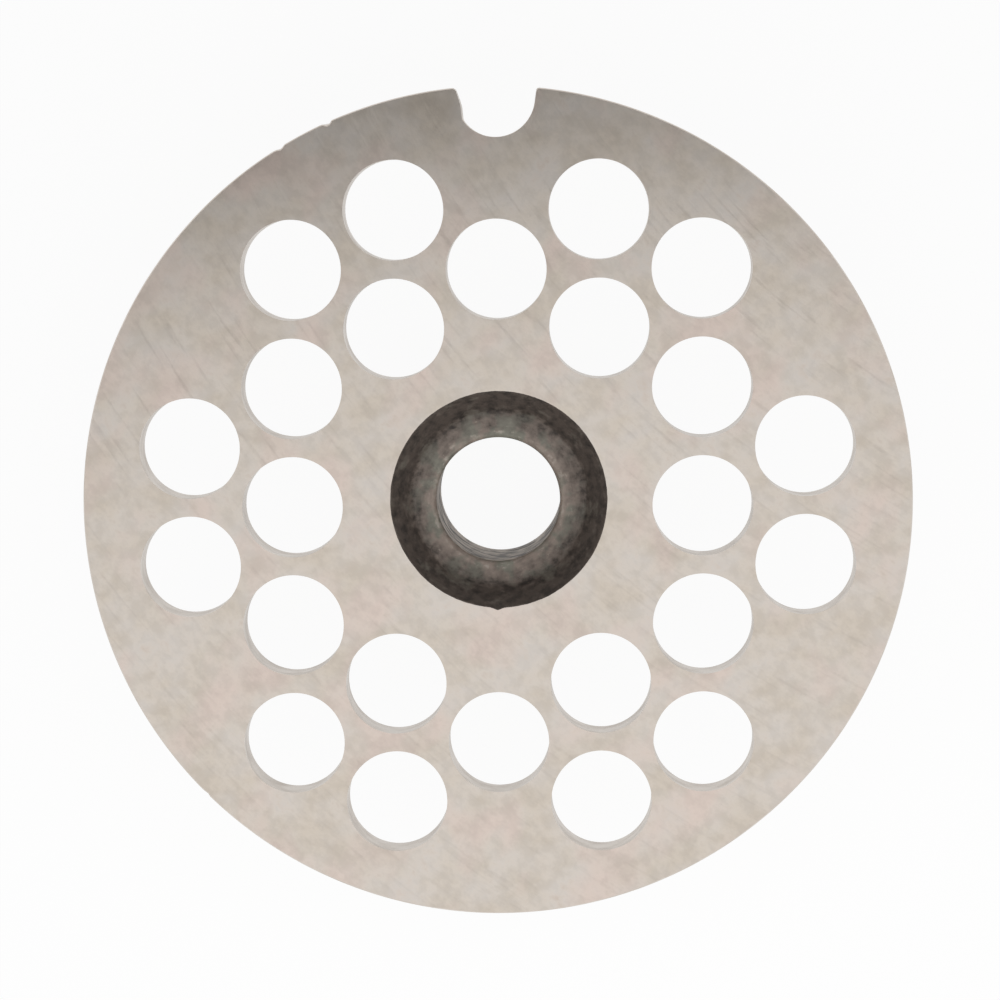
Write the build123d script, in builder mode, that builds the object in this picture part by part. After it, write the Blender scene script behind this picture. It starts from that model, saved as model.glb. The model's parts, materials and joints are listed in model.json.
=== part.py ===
# Meat grinder plate: a steel disc with a flat ground cutting face, straight drilled holes
# on a hexagonal lattice, a keying notch in the rim and a hub round the spindle bore.
# Millimetres, +Z up. The plate lies on its hub with the cutting face up and the notch
# towards +Y. The origin is on the bore's axis, in the plane that the hub rests on.

import os
from math import cos, hypot, radians, sin, sqrt

from build123d import *

# Disc: the face's edge is only just broken, because the knife runs over it
plate_diameter = 70.0
plate_thickness = 5.0
face_edge_break = 0.25
back_edge_break = 0.6

# Spindle bore
bore_diameter = 10.5
bore_back_break = 0.4
bore_mouth_radius = 0.5

# Hub behind the disc, with the draft and the rounded root of a forging
hub_wall = 4.75
hub_height = 11.0
hub_draft = 4.0
hub_root_radius = 2.0
hub_edge_radius = 0.8

# Dished recess in the cutting face, from the bore outwards: a floor that falls gently
# towards the bore, a tight hollow corner and a steep wall up to the face
recess_floor_width = 2.1
recess_floor_fall = 0.5
recess_corner_radius = 0.6
recess_wall_run = 1.75
recess_wall_depth = 2.6

# Drilled holes, with the least web that they leave at the rim, the notch and the hub.
# The lattice was drilled a little off the bore's axis, away from the notch.
hole_diameter = 8.5
hole_pitch = 10.0
pattern_offset = -0.4
rim_web = 3.0
hub_web = 0.6

# Keying notch in the rim, with a round bottom and walls that open outwards
notch_depth = 4.3
notch_bottom_radius = 3.35
notch_flare = 8.0

plate_radius = plate_diameter / 2
bore_radius = bore_diameter / 2
hub_radius = bore_radius + hub_wall
hole_radius = hole_diameter / 2
face_height = hub_height + plate_thickness
floor_radius = bore_radius + recess_floor_width
floor_height = face_height - recess_wall_depth
mouth_height = floor_height - recess_floor_fall
recess_radius = floor_radius + recess_wall_run
notch_centre = plate_radius - notch_depth + notch_bottom_radius


def hole_centres():
    """Lattice points where a whole hole fits between the hub, the rim and the notch."""
    column_step = hole_pitch * sqrt(3) / 2
    nearest = max(hub_radius + hub_root_radius, recess_radius) + hub_web + hole_radius
    farthest = plate_radius - rim_web - hole_radius
    clear_of_notch = notch_bottom_radius + rim_web + hole_radius
    reach = int(plate_radius / column_step) + 1
    centres = []
    for column in range(-reach, reach + 1):
        for row in range(-reach, reach + 1):
            x = column * column_step
            y = (row + (column % 2) / 2) * hole_pitch + pattern_offset
            fits_disc = nearest <= hypot(x, y) <= farthest
            if fits_disc and hypot(x, y - notch_centre) >= clear_of_notch:
                centres.append((x, y))
    return centres


with BuildPart() as grinder_plate:
    # The disc, with its edges broken all round the rim
    with BuildSketch(Plane.XY.offset(hub_height)):
        Circle(plate_radius)
    extrude(amount=plate_thickness)
    rim_edges = edges().sort_by(Axis.Z)
    chamfer(rim_edges.last, length=face_edge_break)
    chamfer(rim_edges.first, length=back_edge_break)

    # The hub, narrower towards the end that the plate rests on
    with BuildSketch(Plane.XY.offset(hub_height)):
        Circle(hub_radius)
    extrude(amount=-hub_height, taper=hub_draft)
    back_edges = edges().filter_by_position(Axis.Z, hub_height, hub_height)
    fillet(back_edges.sort_by(SortBy.RADIUS).first, radius=hub_root_radius)
    hub_end = faces().sort_by(Axis.Z).first
    fillet(hub_end.edges(), radius=hub_edge_radius)

    # The spindle bore, right through disc and hub
    with Locations((0, 0, face_height)):
        Hole(bore_radius)
    hub_end = faces().sort_by(Axis.Z).first
    chamfer(hub_end.edges().sort_by(SortBy.RADIUS).first, length=bore_back_break)

    # The dished recess, turned about the bore's axis
    with BuildSketch(Plane.XZ):
        with BuildLine():
            Polyline(
                (0, face_height),
                (recess_radius, face_height),
                (floor_radius, floor_height),
                (bore_radius, mouth_height),
                (0, mouth_height),
                close=True,
            )
        make_face()
        corner = vertices().filter_by_position(Axis.X, floor_radius, floor_radius)
        fillet(corner, radius=recess_corner_radius)
    revolve(axis=Axis.Z, mode=Mode.SUBTRACT)
    bore_mouth = edges().filter_by(GeomType.CIRCLE).filter_by_position(
        Axis.Z, mouth_height, mouth_height
    )
    fillet(bore_mouth, radius=bore_mouth_radius)

    # The holes, drilled straight through the disc
    with Locations(*[(x, y, face_height) for x, y in hole_centres()]):
        Hole(hole_radius)

    # The keying notch, milled through the rim: each wall leaves the round bottom at a
    # tangent and runs out past the rim
    wall_foot = Vector(
        notch_bottom_radius * cos(radians(notch_flare)),
        notch_centre - notch_bottom_radius * sin(radians(notch_flare)),
    )
    wall_end = wall_foot + Vector(0, 2 * notch_depth).rotate(Axis.Z, -notch_flare)
    with BuildSketch(Plane.XY.offset(hub_height)):
        with BuildLine():
            ThreePointArc(
                (-wall_foot.X, wall_foot.Y),
                (0, notch_centre - notch_bottom_radius),
                wall_foot,
            )
            Polyline(
                wall_foot,
                wall_end,
                (-wall_end.X, wall_end.Y),
                (-wall_foot.X, wall_foot.Y),
            )
        make_face()
    extrude(amount=plate_thickness, mode=Mode.SUBTRACT)

grinder_plate.part.label = "grinder_plate"

os.makedirs("parts", exist_ok=True)
export_step(grinder_plate.part, "parts/grinder_plate.step")
print("holes:", len(hole_centres()))
print("volume in mm3:", round(grinder_plate.part.volume))
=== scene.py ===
# Meat grinder plate: a hardened steel disc with a surface-ground cutting face, drilled holes,
# a milled keying notch and a forged centre. Metres, in the frame's own axes: +Z out of the
# cutting face, +Y towards the notch.
import json
from math import ceil, cos, exp, hypot, inf, isclose, pi, radians, sin, sqrt, tan

import bmesh
import bpy
from mathutils import Matrix, Vector, noise


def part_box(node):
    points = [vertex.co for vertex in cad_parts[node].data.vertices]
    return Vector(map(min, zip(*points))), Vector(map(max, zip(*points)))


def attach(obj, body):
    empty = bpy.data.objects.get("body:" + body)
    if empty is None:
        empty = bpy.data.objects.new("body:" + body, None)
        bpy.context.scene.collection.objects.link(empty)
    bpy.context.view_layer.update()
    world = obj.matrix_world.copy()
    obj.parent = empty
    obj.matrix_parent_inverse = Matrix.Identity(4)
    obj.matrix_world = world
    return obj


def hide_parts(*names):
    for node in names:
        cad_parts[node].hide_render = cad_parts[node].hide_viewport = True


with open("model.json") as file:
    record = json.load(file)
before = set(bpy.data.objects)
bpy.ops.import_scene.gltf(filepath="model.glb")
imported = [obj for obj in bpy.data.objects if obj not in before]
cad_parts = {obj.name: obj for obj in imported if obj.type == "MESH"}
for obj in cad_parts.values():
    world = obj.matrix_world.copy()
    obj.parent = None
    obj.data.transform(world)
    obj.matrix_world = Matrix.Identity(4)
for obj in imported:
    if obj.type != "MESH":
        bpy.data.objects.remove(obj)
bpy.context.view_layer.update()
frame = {"record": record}

mm = 0.001
hair = 1e-7                       # metres: places nearer to each other than this are the same
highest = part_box("grinder_plate")[1]
mounts = {mount["name"]: mount for mount in frame["record"]["mounts"]}
faceHeight = highest.z
backHeight = mounts["back_face"]["pos_m"][2]
plateRadius = highest.x
boreRadius = mounts["spindle_bore"]["dims"]["r_mm"] * mm
print("frame read: plate radius", plateRadius, "face height", faceHeight)


# Materials

def linear(hexColour):
    channels = [int(hexColour[i:i + 2], 16) / 255 for i in (1, 3, 5)]
    return [c / 12.92 if c <= 0.04045 else ((c + 0.055) / 1.055) ** 2.4 for c in channels] + [1.0]


def addNode(tree, kind, settings=None, links=None):
    node = tree.nodes.new(kind)
    for key, value in (settings or {}).items():
        if isinstance(key, str) and hasattr(node, key):
            setattr(node, key, value)
        else:
            node.inputs[key].default_value = value
    for key, source in (links or {}).items():
        tree.links.new(source, node.inputs[key])
    return node


def newMaterial(name):
    material = bpy.data.materials.new(name)
    material.use_nodes = True
    material.node_tree.nodes.clear()
    return material, material.node_tree


def closeMaterial(tree, shader):
    addNode(tree, "ShaderNodeOutputMaterial", {}, {"Surface": shader.outputs["BSDF"]})


def noiseCells(tree, coordinates, cell, turn=0.0, detail=2.0, roughness=0.5):
    # cell is the size of one patch of the pattern along its own x, y and z, in millimetres,
    # and turn is the pattern's turn about the upright axis, in degrees
    place = addNode(tree, "ShaderNodeMapping",
                    {"vector_type": "TEXTURE", "Rotation": (0, 0, radians(turn)),
                     "Scale": [side * mm for side in cell]}, {"Vector": coordinates})
    pattern = addNode(tree, "ShaderNodeTexNoise",
                      {"Scale": 1.0, "Detail": detail, "Roughness": roughness},
                      {"Vector": place.outputs["Vector"]})
    return pattern.outputs["Fac"]


def spread(tree, value, low, high, toLow=0.0, toHigh=1.0):
    node = addNode(tree, "ShaderNodeMapRange",
                   {"From Min": low, "From Max": high, "To Min": toLow, "To Max": toHigh},
                   {"Value": value})
    return node.outputs["Result"]


def addUp(tree, parts, start=0.0):
    # start plus the sum of each pattern times its weight; a noise pattern averages 0.5
    total = None
    for value, weight in parts:
        node = addNode(tree, "ShaderNodeMath", {"operation": "MULTIPLY_ADD", 1: weight, 2: start},
                       {0: value})
        if total is not None:
            tree.links.new(total, node.inputs[2])
        total = node.outputs["Value"]
    return total


def blendColours(tree, factor, first, second):
    node = addNode(tree, "ShaderNodeMix", {"data_type": "RGBA"}, {0: factor})
    for socket, colour in ((6, first), (7, second)):
        if isinstance(colour, str):
            node.inputs[socket].default_value = linear(colour)
        else:
            tree.links.new(colour, node.inputs[socket])
    return node.outputs[2]


def shade(tree, colour, value):
    node = addNode(tree, "ShaderNodeVectorMath", {"operation": "SCALE"},
                   {0: colour, "Scale": value})
    return node.outputs["Vector"]


def acrossAxis(tree, place):
    # the place without its height, and its distance from the upright axis
    flat = addNode(tree, "ShaderNodeVectorMath", {"operation": "MULTIPLY", 1: (1, 1, 0)},
                   {0: place}).outputs["Vector"]
    away = addNode(tree, "ShaderNodeVectorMath", {"operation": "LENGTH"},
                   {0: flat}).outputs["Value"]
    return flat, away


# Carbon tool steel, surface-ground: satin, with the fine scratches that a cup wheel leaves in
# flat arcs, crossed by a few fainter ones from use, and a thin uneven tarnish, warm here and
# greenish there. The grit's real scratches are about 0.02 mm apart; they are drawn at 0.25 mm
# to show, and the tarnish in patches of 1 to 6 mm. The wheel's centre is in millimetres from
# the bore's axis. A range is the part of a noise pattern that is spread over 0 to 1.
groundFace = {
    "warm": "#c9bfb3", "cool": "#c5beb7", "rosy": "#cbbdb4", "stain": "#bbb0a6",
    "roughness": 0.34, "bump": 3e-6,
    "wheelCentre": (74, 88, 0), "grainCell": (2.2, 0.25, 2.2), "grainShade": 0.04,
    "longCell": (6.0, 0.4, 6.0), "longTurn": 5, "longRange": (0.60, 0.72), "longShade": 0.033,
    "crossTurn": 62, "crossRange": (0.62, 0.72), "crossShare": 0.4,
    "tarnishCell": (4.2, 3.2, 4.2), "tarnishTurn": 20, "tarnishRange": (0.35, 0.65),
    "tarnishShade": 0.135, "blushSize": 1.4, "blushTurn": 70, "blushRange": (0.5, 0.7),
    "mottleCell": (1.3, 1.0, 1.3), "mottleTurn": 137, "mottleRange": (0.40, 0.60),
    "mottleShade": 0.10, "stainRange": (0.56, 0.72),
}
# The back, ground more coarsely and never touched by the knife
groundBack = dict(groundFace, warm="#b3a89f", cool="#a9a59d", rosy="#ab9d94", stain="#938b82",
                  roughness=0.42, wheelCentre=(-100, 40, 0), grainCell=(6.0, 0.3, 6.0),
                  grainShade=0.22, bump=9e-6)


def wheelArcs(tree, here, wheelCentre):
    # places along and across the wheel's arcs, in metres
    fromWheel = addNode(tree, "ShaderNodeVectorMath",
                        {"operation": "SUBTRACT", 1: [side * mm for side in wheelCentre]},
                        {0: here}).outputs["Vector"]
    parts = addNode(tree, "ShaderNodeSeparateXYZ", {}, {0: fromWheel})
    angle = addNode(tree, "ShaderNodeMath", {"operation": "ARCTAN2"},
                    {0: parts.outputs["Y"], 1: parts.outputs["X"]})
    along = addNode(tree, "ShaderNodeMath",
                    {"operation": "MULTIPLY", 1: hypot(*wheelCentre) * mm},
                    {0: angle.outputs["Value"]})
    place = addNode(tree, "ShaderNodeCombineXYZ", {},
                    {"X": along.outputs["Value"], "Y": acrossAxis(tree, fromWheel)[1],
                     "Z": parts.outputs["Z"]})
    return place.outputs["Vector"]


def groundSteel(name, finish):
    material, tree = newMaterial(name)
    here = addNode(tree, "ShaderNodeTexCoord").outputs["Object"]
    arcs = wheelArcs(tree, here, finish["wheelCentre"])
    grain = noiseCells(tree, arcs, finish["grainCell"], detail=3.0, roughness=0.6)
    longLines = noiseCells(tree, arcs, finish["longCell"], finish["longTurn"], detail=1.0)
    crossLines = noiseCells(tree, here, finish["longCell"], finish["crossTurn"], detail=1.0)
    tarnish = noiseCells(tree, here, finish["tarnishCell"], finish["tarnishTurn"], detail=3.0,
                         roughness=0.55)
    blush = noiseCells(tree, here, [finish["blushSize"] * side for side in finish["tarnishCell"]],
                       finish["blushTurn"])
    mottle = noiseCells(tree, here, finish["mottleCell"], finish["mottleTurn"], detail=4.0,
                        roughness=0.65)
    stain = addUp(tree, [(mottle, 0.6), (tarnish, 0.4)])
    longLines = spread(tree, longLines, *finish["longRange"])
    crossLines = spread(tree, crossLines, *finish["crossRange"])
    clouds = spread(tree, tarnish, *finish["tarnishRange"])
    patches = spread(tree, mottle, *finish["mottleRange"])

    colour = blendColours(tree, clouds, finish["warm"], finish["cool"])
    colour = blendColours(tree, spread(tree, blush, *finish["blushRange"]), colour,
                          finish["rosy"])
    colour = blendColours(tree, spread(tree, stain, *finish["stainRange"]), colour,
                          finish["stain"])
    shades = finish["grainShade"] + finish["mottleShade"] + finish["tarnishShade"]
    level = addUp(tree, [(grain, finish["grainShade"]), (patches, finish["mottleShade"]),
                         (clouds, finish["tarnishShade"]), (longLines, -finish["longShade"]),
                         (crossLines, -finish["crossShare"] * finish["longShade"])],
                  1.0 - 0.5 * shades)
    colour = shade(tree, colour, level)
    roughness = addUp(tree, [(grain, 0.10), (tarnish, 0.10), (longLines, 0.06)],
                      finish["roughness"] - 0.10)
    relief = addUp(tree, [(grain, 1.0), (longLines, -0.6), (crossLines, -0.3)])
    bump = addNode(tree, "ShaderNodeBump", {"Distance": finish["bump"]}, {"Height": relief})
    shader = addNode(tree, "ShaderNodeBsdfPrincipled", {"Metallic": 1.0},
                     {"Base Color": colour, "Roughness": roughness,
                      "Normal": bump.outputs["Normal"]})
    closeMaterial(tree, shader)
    return material


# The same steel where a drill, a milling cutter or a lathe left it: fine rings round the wall,
# 0.05 mm apart in truth and drawn at 0.3 mm, browned in patches of 2 mm by the fat that stays.
drilledWall = {"bright": "#c7beb4", "brown": "#b4a99d", "metallic": 1.0, "roughness": 0.36,
               "ringShade": 0.20, "ringCell": (6.0, 6.0, 0.3), "stainCell": (2.5, 2.5, 2.0),
               "stainTurn": 15, "stainRange": (0.42, 0.70), "bump": 1e-5}
turnedRim = dict(drilledWall, bright="#d9d1c9", brown="#cdc3b9", roughness=0.42,
                 ringShade=0.26, ringCell=(16.0, 16.0, 0.34), stainCell=(4.0, 4.0, 1.5))
# The bore was reamed before hardening: oxide and old grease hide about half of its metal
reamedBore = dict(drilledWall, bright="#b3a596", brown="#443a31", metallic=0.5, roughness=0.55,
                  ringShade=0.1, ringCell=(2.0, 2.0, 0.2), stainCell=(1.6, 1.6, 1.2),
                  stainRange=(0.42, 0.58), bump=4e-6)


def cutSteel(name, finish):
    material, tree = newMaterial(name)
    here = addNode(tree, "ShaderNodeTexCoord").outputs["Object"]
    rings = noiseCells(tree, here, finish["ringCell"])
    stain = noiseCells(tree, here, finish["stainCell"], finish["stainTurn"], detail=4.0,
                       roughness=0.6)
    colour = blendColours(tree, spread(tree, stain, *finish["stainRange"]), finish["bright"],
                          finish["brown"])
    colour = shade(tree, colour, addUp(tree, [(rings, finish["ringShade"])],
                                       1 - finish["ringShade"] / 2))
    roughness = addUp(tree, [(rings, 0.12), (stain, 0.2)], finish["roughness"] - 0.16)
    bump = addNode(tree, "ShaderNodeBump", {"Distance": finish["bump"]}, {"Height": rings})
    shader = addNode(tree, "ShaderNodeBsdfPrincipled", {"Metallic": finish["metallic"]},
                     {"Base Color": colour, "Roughness": roughness,
                      "Normal": bump.outputs["Normal"]})
    closeMaterial(tree, shader)
    return material


# Forging scale, the black oxide that hardening leaves on steel: matt, with lumps of 1 mm and
# patches of 2 mm, near black in the corner and on the steep wall, and turning to a lighter,
# mottled grey-brown towards the bore: partly scale rubbed where things touch it, partly painted
# shade on the steep wall and painted light on the floor. Lengths are in millimetres, distances
# from the axis.
forgedDish = {
    # The lighter tone, and the radii between which the dish turns to it towards the bore, stand
    # partly for rubbed scale and partly for painted light on the floor and painted shade on the
    # steep wall
    "scale": "#4b413a", "soot": "#28211c", "rubbed": "#a39489", "green": "#858377",
    "bareSteel": "#b3aaa0", "rubbedFrom": 8.0, "rubbedTo": 5.6,
    "patchCell": (2.2, 2.2, 2.2), "patchTurn": 50, "lumpCell": (0.9, 0.9, 0.9),
    "grainCell": (0.4, 0.4, 0.4), "grainTurn": 30, "swirlTurns": 4.0, "swirlPitch": 0.4,
    "wearStart": -1.87, "wearRange": (0.1, 1.5), "toneRange": (0.47, 0.57),
    "sootRange": (0.3, 0.55), "speckStart": -0.35, "speckRange": (1.08, 1.45),
    "metallicRange": (1.0, 1.4, 0.05, 0.5),           # from, to, and what these two become
    "roughness": 0.62, "bump": 3e-5,
}
# The hub's scale is hardly ever touched, so it stayed darker
forgedHub = dict(forgedDish, scale="#37322e", soot="#1d1a18", rubbed="#5f5852",
                 green="#4b4b46", rubbedFrom=12.0, rubbedTo=8.0)


def forgedScale(name, finish):
    material, tree = newMaterial(name)
    here = addNode(tree, "ShaderNodeTexCoord").outputs["Object"]
    patches = noiseCells(tree, here, finish["patchCell"], finish["patchTurn"], detail=3.0,
                         roughness=0.55)
    lumps = noiseCells(tree, here, finish["lumpCell"], detail=4.0, roughness=0.6)
    grain = noiseCells(tree, here, finish["grainCell"], finish["grainTurn"], detail=3.0,
                       roughness=0.6)
    # streaks that run round the axis, from the swing of the scraper that cleaned it
    flat, away = acrossAxis(tree, here)
    around = addNode(tree, "ShaderNodeVectorMath", {"operation": "NORMALIZE"},
                     {0: flat}).outputs["Vector"]
    around = addNode(tree, "ShaderNodeVectorMath",
                     {"operation": "SCALE", "Scale": finish["swirlTurns"]},
                     {0: around}).outputs["Vector"]
    pitch = addNode(tree, "ShaderNodeMath",
                    {"operation": "DIVIDE", 1: finish["swirlPitch"] * mm}, {0: away})
    lift = addNode(tree, "ShaderNodeCombineXYZ", {}, {"Z": pitch.outputs["Value"]})
    swirlPlace = addNode(tree, "ShaderNodeVectorMath", {"operation": "ADD"},
                         {0: around, 1: lift.outputs["Vector"]})
    swirl = addNode(tree, "ShaderNodeTexNoise", {"Scale": 1.0, "Detail": 2.0},
                    {"Vector": swirlPlace.outputs["Vector"]}).outputs["Fac"]

    # lighter towards the bore: partly rubbing, partly painted light on the floor and painted
    # shade on the steep wall
    wearAndLightInward = spread(tree, away, finish["rubbedFrom"] * mm, finish["rubbedTo"] * mm)
    wearAndLight = addUp(tree, [(patches, 1.3), (lumps, 1.3), (swirl, 0.8), (grain, 0.3),
                        (wearAndLightInward, 1.15)], finish["wearStart"])
    specks = addUp(tree, [(grain, 1.0), (swirl, 1.0), (wearAndLightInward, 0.35)], finish["speckStart"])
    tone = blendColours(tree, spread(tree, patches, *finish["toneRange"]), finish["rubbed"],
                        finish["green"])
    colour = blendColours(tree, spread(tree, lumps, *finish["sootRange"]), finish["soot"],
                          finish["scale"])
    # the dark scale turns to the lighter tone where worn, and towards the bore also as painted
    # light, leaving painted shade on the steep wall
    colour = blendColours(tree, spread(tree, wearAndLight, *finish["wearRange"]), colour, tone)
    colour = blendColours(tree, spread(tree, specks, *finish["speckRange"]), colour,
                          finish["bareSteel"])
    metallic = spread(tree, specks, *finish["metallicRange"])
    roughness = addUp(tree, [(wearAndLight, -0.12), (grain, 0.12)], finish["roughness"])
    relief = addUp(tree, [(lumps, 0.7), (grain, 0.25), (swirl, 0.3)])
    bump = addNode(tree, "ShaderNodeBump", {"Distance": finish["bump"]}, {"Height": relief})
    shader = addNode(tree, "ShaderNodeBsdfPrincipled", {},
                     {"Base Color": colour, "Metallic": metallic, "Roughness": roughness,
                      "Normal": bump.outputs["Normal"]})
    closeMaterial(tree, shader)
    return material


plateFinishes = [
    groundSteel("surfaceGroundFace", groundFace),
    groundSteel("groundBack", groundBack),
    cutSteel("turnedRim", turnedRim),
    cutSteel("drilledHoles", drilledWall),
    cutSteel("reamedBore", reamedBore),
    forgedScale("forgedDish", forgedDish),
    forgedScale("forgedHub", forgedHub),
]
faceFinish, backFinish, rimFinish, drilledFinish, boreFinish, dishFinish, hubFinish = range(7)
print("materials made:", len(plateFinishes))


# Shapes that the plate is built from

def chain(bm, points):
    verts = [bm.verts.new(point) for point in points]
    return verts, [bm.edges.new(pair) for pair in zip(verts, verts[1:])]


def only(kind, geometry):
    return [item for item in geometry if isinstance(item, kind)]


def turn(bm, geometry, middle, angle, steps):
    swept = bmesh.ops.spin(bm, geom=geometry, cent=middle, axis=(0, 0, 1), dvec=(0, 0, 0),
                           angle=angle, steps=steps, use_merge=isclose(abs(angle), 2 * pi),
                           use_duplicate=False)
    return swept["geom_last"]


def paint(faces, finish):
    for face in faces:
        face.material_index = finish


def joinTo(bm, part):
    mesh = bpy.data.meshes.new("part")
    part.to_mesh(mesh)
    bm.from_mesh(mesh)
    bpy.data.meshes.remove(mesh)


rim = {
    "faceBreak": 0.09 * mm, "backBreak": 0.6 * mm, "steps": 720,
    # dents in the edge, as angle from +X in degrees, depth and half width
    "dents": ((113.9, 0.26 * mm, 0.55), (121.3, 0.18 * mm, 0.5), (224.9, 0.08 * mm, 0.4)),
}
notch = {
    "depth": 4.3 * mm, "bottomRadius": 3.35 * mm, "flare": radians(8.0),
    "edgeBreak": 0.03 * mm, "cornerRadius": 0.22 * mm, "cornerSteps": 4, "steps": 48,
    # the locating pin has bruised the left wall into the notch: distances in millimetres
    # below the rim and left of the middle
    "leftWall": ((0.0, 3.42), (1.73, 2.89), (2.75, 2.79)),
}


def leftWallAt(y):
    # the x up to which the left wall is bruised in at this y; below the bruise, no limit
    below = (plateRadius - y) / mm
    for (high, wide), (low, narrow) in zip(notch["leftWall"], notch["leftWall"][1:]):
        if below <= low:
            return -mm * (wide + (narrow - wide) * (below - high) / (low - high))
    return -inf


def buildRim():
    bm = bmesh.new()
    centreY = plateRadius - notch["depth"] + notch["bottomRadius"]
    outward = Vector((cos(notch["flare"]), -sin(notch["flare"]), 0))    # into the steel
    along = Vector((sin(notch["flare"]), cos(notch["flare"]), 0))       # up the wall
    foot = Vector((0, centreY, 0)) + outward * notch["bottomRadius"]
    reach = sqrt(plateRadius ** 2 - foot.length_squared + foot.dot(along) ** 2) - foot.dot(along)
    mouth = foot + along * reach
    mouthAngle = mouth.to_2d().angle_signed(Vector((0, 1)))

    profile = [(plateRadius - rim["faceBreak"], faceHeight),
               (plateRadius, faceHeight - rim["faceBreak"]),
               (plateRadius, backHeight + rim["backBreak"]),
               (plateRadius - rim["backBreak"], backHeight)]
    side = mouth.to_2d().normalized()
    verts, edges = chain(bm, [(r * side.x, r * side.y, z) for r, z in profile])
    end = turn(bm, verts + edges, (0, 0, 0), -(2 * pi - 2 * abs(mouthAngle)), rim["steps"])
    for angle, depth, halfWidth in rim["dents"]:
        for vert in bm.verts:
            off = Vector((cos(radians(angle)), sin(radians(angle)))).angle(vert.co.to_2d())
            high = (vert.co.z - backHeight) / (faceHeight - backHeight)
            vert.co.xy *= 1 - depth / plateRadius * high * exp(-(off / radians(halfWidth)) ** 4)
    rimFaces = set(bm.faces)
    paint(rimFaces, rimFinish)

    # the notch: down one wall, round the bottom and up the other wall
    wall = bmesh.ops.extrude_edge_only(bm, edges=edges)["geom"]
    rows = sorted(only(bmesh.types.BMVert, wall), key=lambda vert: -vert.co.z)
    heights = (faceHeight, faceHeight - notch["edgeBreak"],
               backHeight + notch["edgeBreak"], backHeight)
    for vert, height in zip(rows, heights):
        broken = notch["edgeBreak"] if height in (faceHeight, backHeight) else 0
        vert.co = foot + outward * broken + Vector((0, 0, height))
    footEdges = [edge for edge in only(bmesh.types.BMEdge, wall)
                 if all(vert in rows for vert in edge.verts)]
    bottom = turn(bm, rows + footEdges, (0, centreY, 0), -(pi - 2 * notch["flare"]),
                  notch["steps"])
    bmesh.ops.bridge_loops(bm, edges=only(bmesh.types.BMEdge, bottom)
                           + only(bmesh.types.BMEdge, end))
    notchFaces = [face for face in bm.faces if face not in rimFaces]
    paint(notchFaces, drilledFinish)
    for face in notchFaces:
        for vert in face.verts:
            if vert.co.x < 0:
                vert.co.x = max(vert.co.x, leftWallAt(vert.co.y))
    corners = edges + only(bmesh.types.BMEdge, end)
    bmesh.ops.bevel(bm, geom=corners, offset=notch["cornerRadius"], offset_type="OFFSET",
                    segments=notch["cornerSteps"], profile=0.5, affect="EDGES", material=-1)
    return bm


holes = {
    "radius": 4.25 * mm, "pitch": 10.0 * mm, "latticeShift": -0.4 * mm,
    "rimWeb": 3.0 * mm, "nearest": 16.85 * mm,        # from the axis, clear of the hub's root
    "reach": 4, "steps": 96,
}


def holeCentres():
    columnStep = holes["pitch"] * sqrt(3) / 2
    farthest = plateRadius - holes["rimWeb"] - holes["radius"]
    tries = range(-holes["reach"], holes["reach"] + 1)
    for column in tries:
        for row in tries:
            x = column * columnStep
            y = (row + (column % 2) / 2) * holes["pitch"] + holes["latticeShift"]
            if holes["nearest"] <= hypot(x, y) <= farthest:
                yield x, y


def buildHole():
    # the edges stay sharp, because the knife shears the meat against them
    bm = bmesh.new()
    verts, edges = chain(bm, [(holes["radius"], 0, faceHeight),
                              (holes["radius"], 0, backHeight)])
    turn(bm, verts + edges, (0, 0, 0), 2 * pi, holes["steps"])
    paint(bm.faces, drilledFinish)
    return bm


# The centre: the dished recess, the bore and the hub, as one profile turned about the axis
centre = {
    "sectors": 6, "sectorSteps": 70, "dishStep": 0.14 * mm, "plainStep": 0.3 * mm,
    "bendSteps": 5, "fewestBendSteps": 3,             # for each millimetre round a corner
    "mouthRadius": 9.1 * mm, "lip": 0.12 * mm,
    "floorRadius": 7.35 * mm, "wallDepth": 2.6 * mm, "hollow": 0.6 * mm,
    "floorDepth": 3.1 * mm, "boreLip": 0.5 * mm, "endBreak": 0.4 * mm,
    "hubRadius": 10.0 * mm, "draft": radians(4), "endRadius": 0.8 * mm,
    "rootRadius": 2.0 * mm, "faceBorder": 0.8 * mm, "backBorder": 0.3 * mm,
    "lumps": 0.05 * mm, "lumpSize": 2.4 * mm, "pits": 0.03 * mm, "pitSize": 0.55 * mm,
    "shift": Vector((0.11, 0.18, 0)) * mm,            # the dish was forged a little off axis
    "nick": (-91.0, 0.22 * mm, 4.0),                  # degrees from +X, depth, half width
    "margin": 0.1 * mm, "skinInBore": 0.25 * mm, "endBand": 1.6 * mm,
}
# Where the forged skin reaches, in millimetres; a fade is its start and its width
skin = {
    "dishDepth": 3.05, "flatDepth": 0.01, "faceFade": (9.2, 0.6),
    "boreFade": (boreRadius / mm, 0.6), "steepFrom": 9.0, "steepShare": 0.5,
    "shiftFade": (5.6, 1.5), "nickFade": (0.0, 0.8), "nickPower": 1.3,
    "hubInner": 7.5, "hubOuter": 11.8, "endFade": (0.5, 0.8), "rootFade": (11.3, 0.5),
    "backMargin": 0.01, "hubSunk": 0.03,
}


def centreProfile():
    # radius, height and corner radius at each turn of the outline
    c = centre
    return [
        (c["mouthRadius"] + c["faceBorder"], faceHeight, 0),
        (c["mouthRadius"], faceHeight, c["lip"]),
        (c["floorRadius"], faceHeight - c["wallDepth"], c["hollow"]),
        (boreRadius, faceHeight - c["floorDepth"], c["boreLip"]),
        (boreRadius, c["endBreak"], 0),
        (boreRadius + c["endBreak"], 0, 0),
        (c["hubRadius"] - tan(c["draft"]) * backHeight, 0, c["endRadius"]),
        (c["hubRadius"], backHeight, c["rootRadius"]),
        (c["hubRadius"] + c["rootRadius"] + c["backBorder"], backHeight, 0),
    ]


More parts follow.
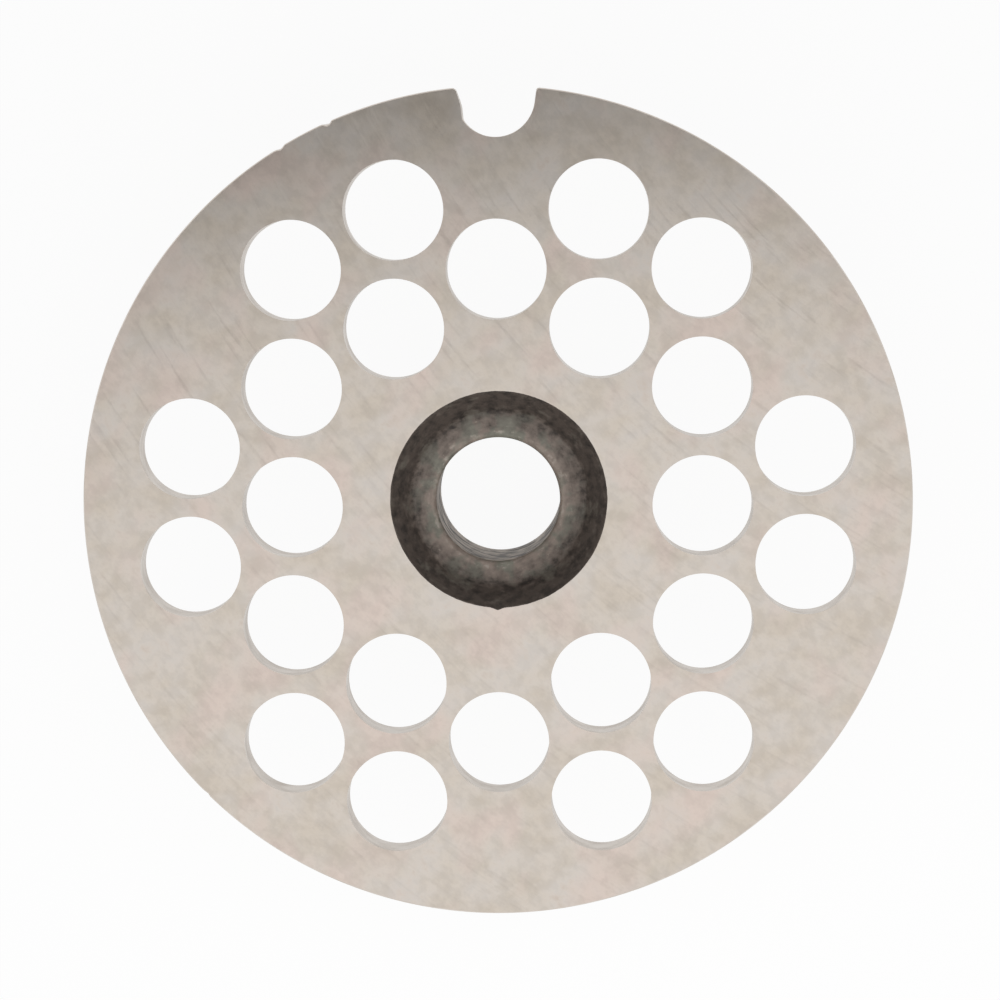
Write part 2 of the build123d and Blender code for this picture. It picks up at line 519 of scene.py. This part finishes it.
def buildCentre():
    bm = bmesh.new()
    profile = centreProfile()
    points = [Vector((radius, 0, height)) for radius, height, corner in profile]
    verts, edges = chain(bm, points)
    for i in range(1, len(points) - 1):
        corner = profile[i][2]
        if corner:
            bend = (points[i] - points[i - 1]).angle(points[i + 1] - points[i])
            bmesh.ops.bevel(bm, geom=[verts[i]], offset=corner * tan(bend / 2),
                            offset_type="OFFSET", profile=0.5, affect="VERTICES", material=-1,
                            segments=max(centre["fewestBendSteps"],
                                         ceil(bend * corner / mm * centre["bendSteps"])))
    for edge in bm.edges[:]:
        dished = all(depthBelowFace(vert.co) < centre["floorDepth"] + centre["margin"]
                     for vert in edge.verts)
        cuts = ceil(edge.calc_length() / centre["dishStep" if dished else "plainStep"]) - 1
        if cuts > 0:
            bmesh.ops.subdivide_edges(bm, edges=[edge], cuts=cuts)
    # a sixth of the turn, and then five copies of it
    sectorAngle = 2 * pi / centre["sectors"]
    turn(bm, bm.verts[:] + bm.edges[:], (0, 0, 0), sectorAngle, centre["sectorSteps"])
    sector = bm.copy()
    for i in range(1, centre["sectors"]):
        bmesh.ops.rotate(sector, verts=sector.verts[:], cent=(0, 0, 0),
                         matrix=Matrix.Rotation(sectorAngle, 3, "Z"))
        joinTo(bm, sector)
    bmesh.ops.remove_doubles(bm, verts=bm.verts[:], dist=hair)
    bmesh.ops.recalc_face_normals(bm, faces=bm.faces[:])
    bm.normal_update()
    for face in bm.faces:
        face.material_index = centreFinish(face.calc_center_median())
    roughen(bm.verts)
    return bm


def depthBelowFace(point):
    return faceHeight - point.z


def centreFinish(point):
    away, depth = point.to_2d().length, depthBelowFace(point)
    if depth < hair:
        return faceFinish
    if depth < centre["floorDepth"] + centre["skinInBore"]:
        return dishFinish
    if away < boreRadius + centre["margin"]:
        return boreFinish
    if point.z < centre["endBreak"] and away < centre["hubRadius"] - centre["endBand"]:
        return drilledFinish
    return backFinish if point.z > backHeight - hair else hubFinish


def fade(value, start, width):
    return min(1.0, max(0.0, (value - start) / width))


def roughen(verts):
    # the forged skin: low lumps and small pits, none where a tool or the grinder cut it away
    nickTurn, nickDepth, nickHalf = centre["nick"]
    nickWay = Vector((cos(radians(nickTurn)), sin(radians(nickTurn))))
    moves = []
    for vert in verts:
        outward = vert.co.to_2d().normalized()
        away, height = vert.co.to_2d().length / mm, vert.co.z / mm
        depth = depthBelowFace(vert.co) / mm
        move = Vector((0, 0, 0))
        if depth < skin["dishDepth"]:
            if away > skin["steepFrom"]:
                push = outward.to_3d() * skin["steepShare"]
            else:
                push = vert.normal * fade(away, *skin["boreFade"])
            near = 1 - fade(outward.angle(nickWay), 0.0, radians(nickHalf))
            nicked = (near * (1 - fade(depth, *skin["nickFade"]))) ** skin["nickPower"]
            move = (push * skinHeight(vert.co)
                    + centre["shift"] * fade(away, *skin["shiftFade"])
                    + outward.to_3d() * nickDepth * nicked)
            if depth < skin["flatDepth"]:
                move *= 1 - fade(away, *skin["faceFade"])
        elif (skin["hubInner"] < away < skin["hubOuter"]
              and skin["endFade"][0] < height < backHeight / mm - skin["backMargin"]):
            forged = fade(height, *skin["endFade"]) * (1 - fade(away, *skin["rootFade"]))
            move = vert.normal * forged * (skinHeight(vert.co) - skin["hubSunk"] * mm)
        moves.append(move)
    for vert, move in zip(verts, moves):
        vert.co += move
        vert.co.z = min(vert.co.z, faceHeight)


def skinHeight(point):
    lumps = noise.fractal(point / centre["lumpSize"], 1.0, 2.0, 3)
    pits = noise.fractal(point / centre["pitSize"], 0.7, 2.0, 3)
    return lumps * centre["lumps"] + pits * centre["pits"]


def closeFlat(bm, height, upward, finish):
    loops = [edge for edge in bm.edges
             if edge.is_boundary and all(abs(vert.co.z - height) < hair for vert in edge.verts)]
    filled = bmesh.ops.triangle_fill(bm, use_beauty=True, use_dissolve=False, edges=loops,
                                     normal=(0, 0, 1 if upward else -1))
    paint(only(bmesh.types.BMFace, filled["geom"]), finish)


sharpFrom = radians(34)           # edges that turn by more than this stay sharp


def buildPlate():
    bm = buildRim()
    print("rim and notch turned:", len(bm.faces), "faces")
    hole = buildHole()
    for x, y in holeCentres():
        drilled = hole.copy()
        bmesh.ops.translate(drilled, verts=drilled.verts[:], vec=(x, y, 0))
        joinTo(bm, drilled)
    print("holes drilled:", len(bm.faces), "faces")
    joinTo(bm, buildCentre())
    print("centre forged:", len(bm.faces), "faces")
    closeFlat(bm, faceHeight, True, faceFinish)
    closeFlat(bm, backHeight, False, backFinish)
    bmesh.ops.recalc_face_normals(bm, faces=bm.faces[:])
    print("open edges:", sum(not edge.is_manifold for edge in bm.edges),
          "volume in mm3:", round(bm.calc_volume(signed=True) / mm ** 3))
    mesh = bpy.data.meshes.new("plate_body")
    bm.to_mesh(mesh)
    bm.free()
    for material in plateFinishes:
        mesh.materials.append(material)
    mesh.shade_smooth()
    mesh.set_sharp_from_angle(angle=sharpFrom)
    plate = bpy.data.objects.new("plate_body", mesh)
    bpy.context.scene.collection.objects.link(plate)
    return plate


plate = buildPlate()
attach(plate, "root")
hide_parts("grinder_plate")
print("plate finished:", len(plate.data.polygons), "faces")


# Studio: a pale floor, a soft light close over the plate, whose far edge falls just short of
# the notch, and a pale room round it. A direction's height is 0 at the horizon and 1 overhead.
studio = {
    "floorSize": 3.0, "floorColour": "#f4f4f4", "floorGlow": 0.94,
    "roomZenith": 0.22, "roomHorizon": 1.0, "roomHeights": (0.15, 0.85),
    "darkSide": (-0.25, 0.97, 0), "darkSideLevel": 0.5, "darkRange": (0.0, 0.7),
    "darkHeights": (0.45, 0.65),
    "lightPlace": Vector((16, -65.5, 75)) * mm, "lightSize": (260 * mm, 190 * mm),
    "lightLevel": 0.70,
}


def buildFloor():
    bm = bmesh.new()
    bmesh.ops.create_grid(bm, x_segments=1, y_segments=1, size=studio["floorSize"] / 2)
    mesh = bpy.data.meshes.new("floor")
    bm.to_mesh(mesh)
    bm.free()
    floor = bpy.data.objects.new("floor", mesh)
    bpy.context.scene.collection.objects.link(floor)
    # matt white paper that looks white to the camera and in the metal, and keeps a shadow
    material, tree = newMaterial("whitePaper")
    path = addNode(tree, "ShaderNodeLightPath")
    seen = addNode(tree, "ShaderNodeMath", {"operation": "MAXIMUM"},
                   {0: path.outputs["Is Camera Ray"], 1: path.outputs["Is Glossy Ray"]})
    seen = addNode(tree, "ShaderNodeMath", {"operation": "MAXIMUM"},
                   {0: seen.outputs["Value"], 1: path.outputs["Is Transmission Ray"]})
    share = addNode(tree, "ShaderNodeMath", {"operation": "MULTIPLY", 1: studio["floorGlow"]},
                    {0: seen.outputs["Value"]})
    paper = addNode(tree, "ShaderNodeBsdfDiffuse", {"Color": linear(studio["floorColour"])})
    glow = addNode(tree, "ShaderNodeEmission", {"Color": (1, 1, 1, 1), "Strength": 1.0})
    mix = addNode(tree, "ShaderNodeMixShader", {},
                  {0: share.outputs["Value"], 1: paper.outputs["BSDF"],
                   2: glow.outputs["Emission"]})
    addNode(tree, "ShaderNodeOutputMaterial", {}, {"Surface": mix.outputs["Shader"]})
    mesh.materials.append(material)


def buildRoom():
    world = bpy.data.worlds.new("room")
    world.use_nodes = True
    bpy.context.scene.world = world
    tree = world.node_tree
    tree.nodes.clear()
    direction = addNode(tree, "ShaderNodeTexCoord").outputs["Generated"]
    height = addNode(tree, "ShaderNodeSeparateXYZ", {}, {0: direction}).outputs["Z"]
    level = spread(tree, height, *studio["roomHeights"], studio["roomHorizon"],
                   studio["roomZenith"])
    towards = addNode(tree, "ShaderNodeVectorMath", {"operation": "DOT_PRODUCT",
                                                     1: studio["darkSide"]}, {0: direction})
    # the dark side is high up only, so that the plate stays bright when seen from low down
    dark = addNode(tree, "ShaderNodeMath", {"operation": "MULTIPLY"},
                   {0: spread(tree, towards.outputs["Value"], *studio["darkRange"]),
                    1: spread(tree, height, *studio["darkHeights"])}).outputs["Value"]
    dimmed = spread(tree, dark, 0.0, 1.0, 1.0, studio["darkSideLevel"])
    level = addNode(tree, "ShaderNodeMath", {"operation": "MULTIPLY"},
                    {0: level, 1: dimmed}).outputs["Value"]
    sky = addNode(tree, "ShaderNodeBackground", {"Color": (1, 1, 1, 1)}, {"Strength": level})
    addNode(tree, "ShaderNodeOutputWorld", {}, {"Surface": sky.outputs["Background"]})


def buildLight():
    width, depth = studio["lightSize"]
    lamp = bpy.data.lights.new("soft_light", "AREA")
    lamp.shape = "ELLIPSE"
    lamp.size, lamp.size_y = width, depth
    # watts, in step with the ellipse's area, so that another size keeps the brightness
    lamp.energy = studio["lightLevel"] * 4 * (pi / 4) * width * depth
    light = bpy.data.objects.new("soft_light", lamp)
    light.location = studio["lightPlace"] + Vector((0, 0, faceHeight))
    light.visible_camera = False
    bpy.context.scene.collection.objects.link(light)


# The photograph looks down on the plate almost square, from a little towards the notch;
# both points are given from the middle of the cutting face
camera = {
    "place": Vector((8.5, 28.0, 413.0)) * mm, "target": Vector((0.2106, 0.1409, 0)) * mm,
    "lens": 176.65, "sensorWidth": 36.0, "clipStart": 0.01, "roll": radians(-0.348),
}


def buildCamera():
    data = bpy.data.cameras.new("camera")
    data.lens = camera["lens"]
    data.sensor_width = camera["sensorWidth"]
    data.clip_start = camera["clipStart"]
    place = camera["place"] + Vector((0, 0, faceHeight))
    forward = (camera["target"] - camera["place"]).normalized()
    right = forward.cross(Vector((0, 1, 0))).normalized()
    up = right.cross(forward)
    cosRoll, sinRoll = cos(camera["roll"]), sin(camera["roll"])
    axes = Matrix((cosRoll * right + sinRoll * up, cosRoll * up - sinRoll * right,
                   -forward)).transposed()
    eye = bpy.data.objects.new("camera", data)
    eye.matrix_world = Matrix.Translation(place) @ axes.to_4x4()
    bpy.context.scene.collection.objects.link(eye)
    bpy.context.scene.camera = eye


buildFloor()
buildRoom()
buildLight()
buildCamera()
bpy.context.scene.view_settings.view_transform = "Standard"
print("studio set up")
